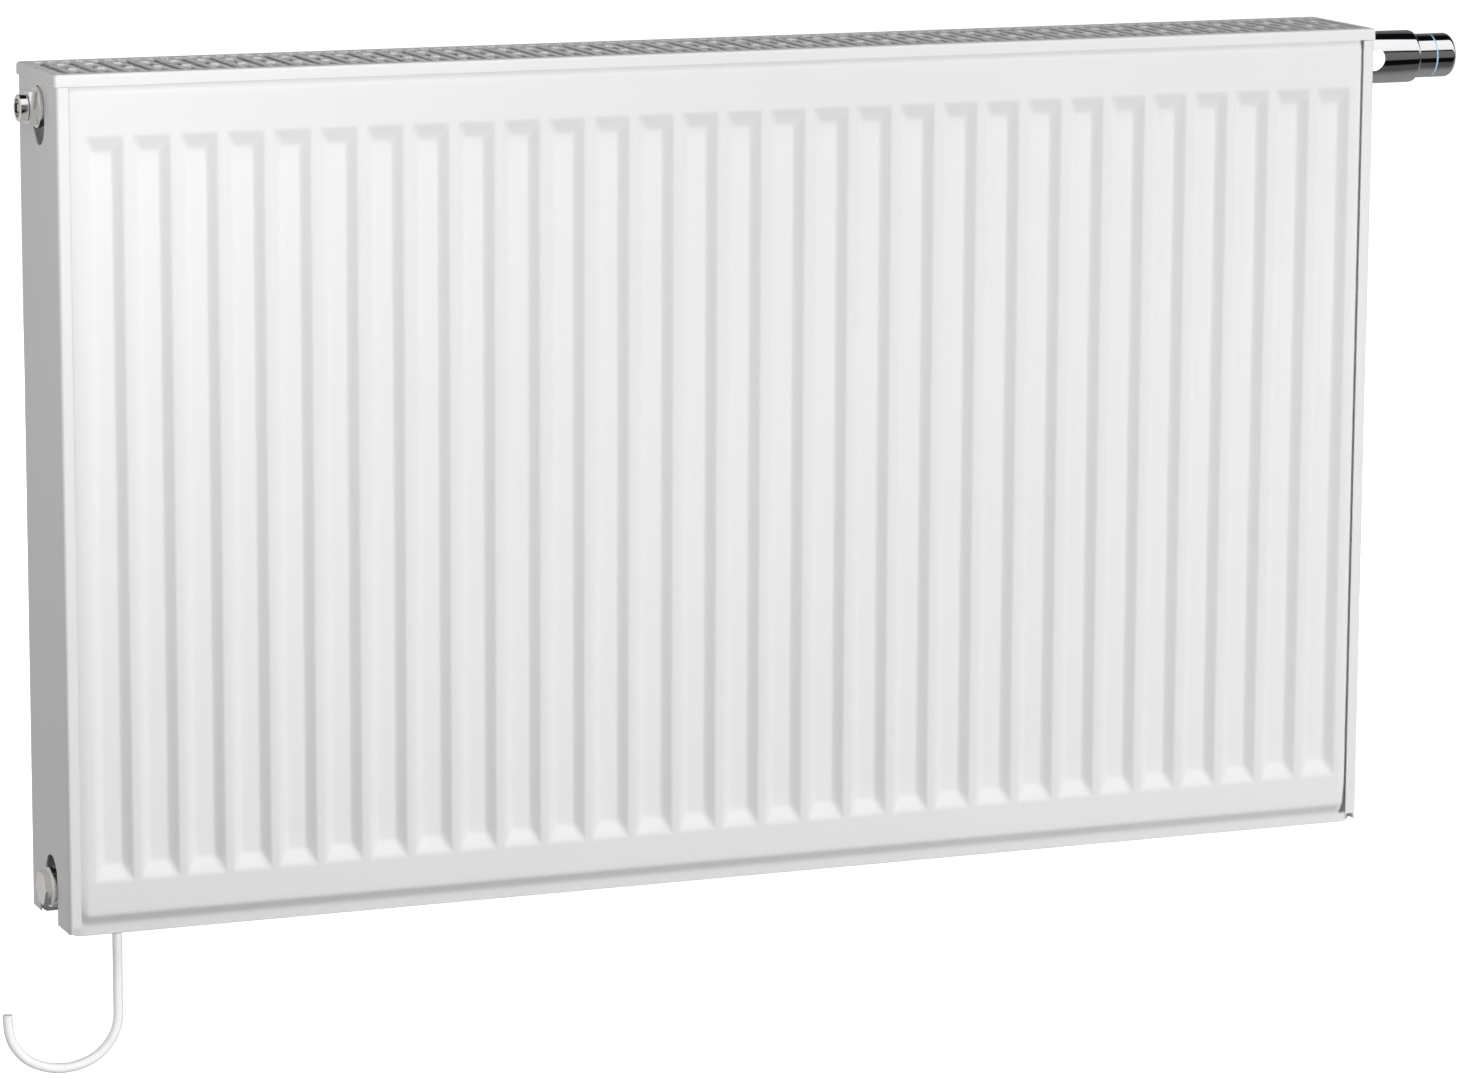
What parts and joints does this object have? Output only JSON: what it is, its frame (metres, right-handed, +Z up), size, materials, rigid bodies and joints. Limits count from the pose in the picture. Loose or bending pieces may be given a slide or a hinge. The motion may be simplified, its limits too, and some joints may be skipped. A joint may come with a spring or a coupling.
{
  "type": "panel radiator with thermostatic valve",
  "caption": "White steel panel radiator with pressed vertical channels, slotted top grille, side-mounted thermostatic head, air vent and a short electric lead below.",
  "frame": {"origin": "centre of the four wall-hook slots, in the plane of the hanging lugs' back faces", "axes": "+X along the radiator towards the thermostatic head, +Y into the wall, +Z up"},
  "size_m": [1.1226, 0.1, 0.7119],
  "materials": {
    "white_paint": "satin powder coat",
    "chrome": "polished",
    "nickel": "bright nickel plate",
    "brass": "machined",
    "spring_steel": "plain",
    "black_rubber": "matt",
    "band_plastic": "gloss",
    "grey_plastic": "matt",
    "white_plastic": "matt",
    "lead_sheath": "soft sheath"
  },
  "bodies": {
    "root": {"blanking_plug_left": "nickel", "blanking_plug_right": "nickel", "cable_gland": "white_plastic", "feed_bracket": "white_paint", "feed_nipple": "white_paint", "front_convector": "white_paint", "front_panel_back": "white_paint", "front_panel_face": "white_paint", "gland_nut": "brass", "hanging_lugs": "white_paint", "head_base": "grey_plastic", "head_sleeve": "chrome", "head_spring": "spring_steel", "heater_plug": "brass", "heater_seal": "black_rubber", "heater_tube": "white_paint", "heating_rod": "spring_steel", "housing_lid": "white_plastic", "mains_lead": "lead_sheath", "pin_spring": "spring_steel", "plug_seal_left": "black_rubber", "plug_seal_right": "black_rubber", "rear_convector": "white_paint", "rear_panel_back": "white_paint", "rear_panel_front": "white_paint", "riser_pipe": "white_paint", "side_panel_left": "white_paint", "side_panel_right": "white_paint", "tee_bottom_left": "white_paint", "tee_bottom_right": "white_paint", "tee_top_left": "white_paint", "terminal_block": "grey_plastic", "terminal_housing": "white_plastic", "union_nut": "chrome", "valve_body": "white_paint", "valve_insert": "brass", "vent_plug": "nickel", "vent_seal": "black_rubber"},
    "grille": {"top_grille": "white_paint", "grille_clips": "spring_steel"},
    "nozzle": {"vent_nozzle": "nickel"},
    "key": {"vent_screw": "brass"},
    "preset": {"preset_ring": "grey_plastic"},
    "handle": {"head_handle": "chrome", "head_band": "band_plastic"},
    "sensor": {"sensor_capsule": "brass", "head_plunger": "grey_plastic"},
    "pin": {"valve_pin": "spring_steel", "valve_disc": "black_rubber"}
  },
  "joints": [
    {"name": "grille_lift", "type": "slide", "parent": "root", "child": "grille", "axis": [0, 0, 1], "range_m": [0, 0.04]},
    {"name": "vent_swivel", "type": "hinge", "parent": "root", "child": "nozzle", "pos_m": [-0.509, -0.0535, 0.273], "axis": [1, 0, 0], "continuous": true},
    {"name": "vent_key", "type": "hinge", "parent": "root", "child": "key", "pos_m": [-0.511, -0.0535, 0.273], "axis": [-1, 0, 0], "range_deg": [0, 360]},
    {"name": "preset_turn", "type": "hinge", "parent": "root", "child": "preset", "pos_m": [0.511, -0.0535, 0.273], "axis": [1, 0, 0], "range_deg": [0, 315]},
    {"name": "handle_turn", "type": "hinge", "parent": "root", "child": "handle", "pos_m": [0.56, -0.0535, 0.273], "axis": [-1, 0, 0], "range_deg": [0, 300]},
    {"name": "sensor_travel", "type": "slide", "parent": "root", "child": "sensor", "axis": [-1, 0, 0], "range_m": [0, 0.0025]},
    {"name": "pin_travel", "type": "slide", "parent": "root", "child": "pin", "axis": [-1, 0, 0], "range_m": [0, 0.0025]}
  ],
  "couplings": [
    {"joint": "sensor_travel", "follows": "handle_turn", "m_per_rad": 0.000477},
    {"joint": "pin_travel", "follows": "handle_turn", "m_per_rad": 0.000477}
  ]
}
